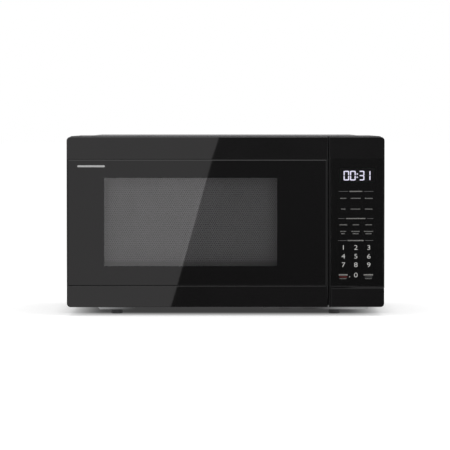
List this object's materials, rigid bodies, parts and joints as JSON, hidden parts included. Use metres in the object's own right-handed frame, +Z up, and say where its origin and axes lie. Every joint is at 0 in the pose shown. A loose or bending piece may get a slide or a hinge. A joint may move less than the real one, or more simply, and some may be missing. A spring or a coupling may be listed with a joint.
{
  "type": "microwave oven",
  "caption": "Countertop microwave oven with a side-hinged glass door, perforated window screen, glass control panel with clock display, push-button door release and turntable.",
  "frame": {"origin": "on the table, under the middle of the oven's outer box", "axes": "+X to the viewer's right across the front, +Y from the door towards the rear, +Z up"},
  "size_m": [0.485, 0.386, 0.2754],
  "materials": {
    "zinc_steel": "galvanised sheet, satin",
    "foot_rubber": "moulded, matt",
    "case_paint": "powder coat, fine texture, semi-gloss",
    "cavity_enamel": "grey enamel paint, semi-gloss",
    "screw_steel": "zinc plated",
    "black_nylon": "moulded",
    "mica": "mica sheet, satin",
    "ivory_plastic": "moulded PBT",
    "white_plastic": "moulded",
    "lamp_glass": "clear",
    "tray_glass": "clear pressed glass",
    "black_trim": "gloss moulding",
    "door_glass": "smoked, polished",
    "panel_glass": "black glass overlay, polished",
    "film_black": "printed film",
    "clear_film": "clear film",
    "screen_paint": "perforated steel, grey paint",
    "aluminium": "mill finish",
    "ferrite": "sintered",
    "antenna_steel": "drawn cap",
    "core_steel": "laminated, varnished",
    "copper_wire": "enamelled winding",
    "board_green": "printed circuit board",
    "red_plastic": "moulded",
    "fan_plastic": "moulded",
    "spring_steel": "music wire",
    "cover_plastic": "moulded choke cover, satin"
  },
  "bodies": {
    "root": {"base_pan": "zinc_steel", "feet": "foot_rubber", "outer_case": "case_paint", "case_screws": "screw_steel", "rear_panel": "zinc_steel", "cord_gland": "black_nylon", "front_plate": "cavity_enamel", "cavity_box": "cavity_enamel", "waveguide": "zinc_steel", "waveguide_cover": "mica", "thermal_cutouts": "ivory_plastic", "lamp_holder": "white_plastic", "cavity_lamp": "lamp_glass", "turntable_motor": "zinc_steel", "magnetron_yoke": "zinc_steel", "magnetron_core": "aluminium", "magnetron_magnets": "ferrite", "magnetron_antenna": "antenna_steel", "transformer_core": "core_steel", "transformer_coils": "copper_wire", "hv_capacitor": "aluminium", "capacitor_clamp": "zinc_steel", "hv_diode": "black_nylon", "noise_filter": "board_green", "fan_shroud": "fan_plastic", "fan_motor": "core_steel", "air_duct": "black_nylon", "latch_board": "ivory_plastic", "interlock_switches": "black_nylon", "lever_pin": "screw_steel", "panel_housing": "black_trim", "panel_overlay": "panel_glass", "display_module": "black_nylon", "control_board": "board_green", "panel_screws": "screw_steel", "button_spring": "spring_steel", "hinge_lower": "zinc_steel", "hinge_upper": "zinc_steel"},
    "door": {"door_frame": "black_trim", "door_glass": "door_glass", "door_film": "film_black", "door_screen": "screen_paint", "door_pan": "cavity_enamel", "door_screws": "screw_steel", "inner_window": "clear_film", "choke_cover": "cover_plastic", "latch_spring": "spring_steel"},
    "door_latch": {"latch_head": "white_plastic"},
    "release_button": {"release_button": "black_trim"},
    "release_lever": {"release_lever": "white_plastic"},
    "switch_plungers": {"switch_plungers": "red_plastic"},
    "turntable": {"turntable_coupler": "ivory_plastic", "glass_tray": "tray_glass"},
    "roller_ring": {"roller_ring": "white_plastic"},
    "roller_1": {"roller_1": "white_plastic"},
    "roller_2": {"roller_2": "white_plastic"},
    "roller_3": {"roller_3": "white_plastic"},
    "fan": {"fan_blade": "fan_plastic"}
  },
  "joints": [
    {"name": "door_hinge", "type": "hinge", "parent": "root", "child": "door", "pos_m": [-0.2335, -0.166, 0.143], "axis": [0, 0, -1], "range_deg": [0, 90]},
    {"name": "button_press", "type": "slide", "parent": "root", "child": "release_button", "axis": [0, 1, 0], "range_m": [0, 0.005], "stiffness_N_per_m": 500, "springref_m": -0.002, "deforming": ["button_spring"]},
    {"name": "latch_lift", "type": "slide", "parent": "door", "child": "door_latch", "axis": [0, 0, 1], "range_m": [0, 0.005], "stiffness_N_per_m": 40, "springref_m": -0.002, "deforming": ["latch_spring"]},
    {"name": "lever_turn", "type": "hinge", "parent": "root", "child": "release_lever", "pos_m": [0.15, -0.143, 0.039], "axis": [1, 0, 0], "range_deg": [0, 30]},
    {"name": "plunger_slide", "type": "slide", "parent": "root", "child": "switch_plungers", "axis": [0, -1, 0], "range_m": [0, 0.0012]},
    {"name": "turntable_spin", "type": "hinge", "parent": "root", "child": "turntable", "pos_m": [-0.048, 0.00655, 0.0492], "axis": [0, 0, 1], "continuous": true},
    {"name": "ring_spin", "type": "hinge", "parent": "root", "child": "roller_ring", "pos_m": [-0.048, 0.00655, 0.0492], "axis": [0, 0, 1], "continuous": true},
    {"name": "roller_1_spin", "type": "hinge", "parent": "roller_ring", "child": "roller_1", "pos_m": [0.053, 0.00655, 0.0492], "axis": [1, 0, 0], "continuous": true},
    {"name": "roller_2_spin", "type": "hinge", "parent": "roller_ring", "child": "roller_2", "pos_m": [-0.0985, 0.09402, 0.0492], "axis": [-0.5, 0.866, 0], "continuous": true},
    {"name": "roller_3_spin", "type": "hinge", "parent": "roller_ring", "child": "roller_3", "pos_m": [-0.0985, -0.08092, 0.0492], "axis": [-0.5, -0.866, 0], "continuous": true},
    {"name": "fan_spin", "type": "hinge", "parent": "root", "child": "fan", "pos_m": [0.183, 0.16, 0.2], "axis": [0, 1, 0], "continuous": true}
  ],
  "couplings": [
    {"joint": "latch_lift", "follows": "button_press", "ratio": 1},
    {"joint": "lever_turn", "follows": "button_press", "rad_per_m": 104.7},
    {"joint": "plunger_slide", "follows": "button_press", "ratio": 0.24},
    {"joint": "ring_spin", "follows": "turntable_spin", "ratio": 0.5},
    {"joint": "roller_1_spin", "follows": "turntable_spin", "ratio": -7.214},
    {"joint": "roller_2_spin", "follows": "turntable_spin", "ratio": -7.214},
    {"joint": "roller_3_spin", "follows": "turntable_spin", "ratio": -7.214}
  ]
}
